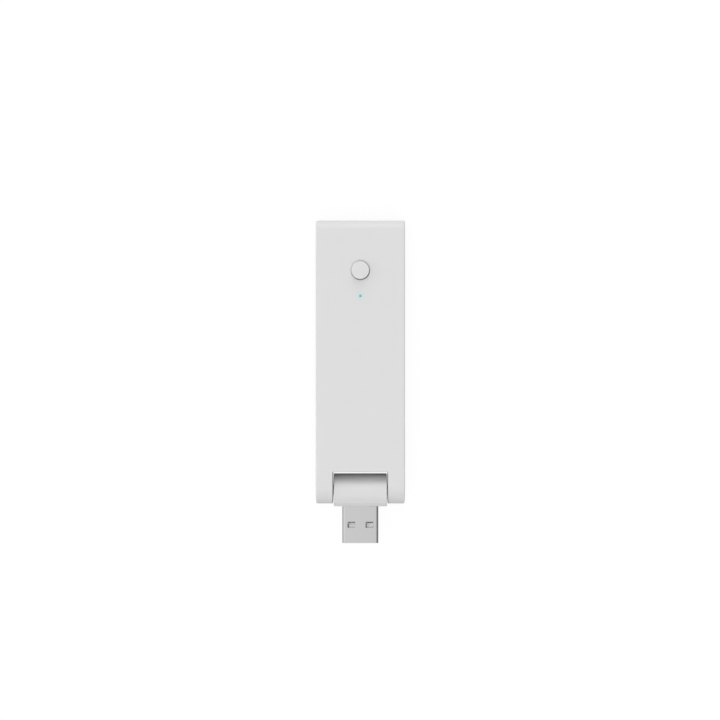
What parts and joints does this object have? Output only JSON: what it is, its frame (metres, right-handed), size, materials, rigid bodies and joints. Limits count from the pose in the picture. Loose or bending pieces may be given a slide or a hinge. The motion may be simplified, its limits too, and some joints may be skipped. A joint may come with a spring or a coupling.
{
  "type": "zigbee hub",
  "caption": "Flat stick-shaped smart home hub in white plastic with a round push button, a pinhole status light and a USB plug on a hinge block in a notch.",
  "frame": {"origin": "on the surface that the hub lies on, under the middle of its whole length with the plug out straight", "axes": "+Z out of the front face, +Y along the hub away from the plug, +X to the right when the front is seen with the plug at the bottom"},
  "size_m": [0.0294, 0.1068, 0.0121],
  "materials": {
    "housing_white": "fine satin moulded white",
    "hinge_white": "fine satin moulded white",
    "status_light": "lit teal",
    "plug_shell": "nickel plated sheet",
    "plug_plastic": "moulded light grey",
    "contact_gold": "gold plated",
    "steel": "turned",
    "board_green": "solder mask",
    "chip_black": "moulded black",
    "tinned_sheet": "tinned sheet",
    "pad_grey": "soft silicone",
    "cable_black": "smooth jacket",
    "capacitor_tan": "fired ceramic"
  },
  "bodies": {
    "housing": {"front_cover": "housing_white", "back_cover": "housing_white", "tact_switch_body": "chip_black", "light_pipe": "status_light", "disc_spring_left": "steel", "disc_spring_right": "steel", "hub_cable": "cable_black", "main_board": "board_green", "board_screws": "steel", "cable_connector": "plug_plastic", "status_led": "status_light", "processor": "chip_black", "memory_chip": "chip_black", "shield_can": "tinned_sheet", "thermal_pad": "pad_grey", "flash_chip": "chip_black", "radio_board": "board_green", "radio_can": "tinned_sheet", "zigbee_antenna": "tinned_sheet", "wifi_antenna": "tinned_sheet", "power_inductor": "chip_black", "voltage_regulator": "chip_black", "clock_crystal": "tinned_sheet", "capacitors": "capacitor_tan"},
    "button": {"button_cap": "housing_white", "tact_switch_plunger": "chip_black"},
    "plug": {"hinge_block_front": "hinge_white", "hinge_block_back": "hinge_white", "pivot_pin_left": "steel", "pivot_pin_right": "steel", "usb_shell": "plug_shell", "usb_tongue": "plug_plastic", "usb_contact_1": "contact_gold", "usb_contact_2": "contact_gold", "usb_contact_3": "contact_gold", "usb_contact_4": "contact_gold", "plug_board": "board_green", "plug_cable": "cable_black"}
  },
  "joints": [
    {"name": "plug_hinge", "type": "hinge", "parent": "housing", "child": "plug", "pos_m": [0, -0.0361, 0.0056], "axis": [1, 0, 0], "range_deg": [-90, 90]},
    {"name": "button_press", "type": "slide", "parent": "housing", "child": "button", "axis": [0, 0, -1], "range_m": [0, 0.00025], "stiffness_N_per_m": 6000}
  ]
}
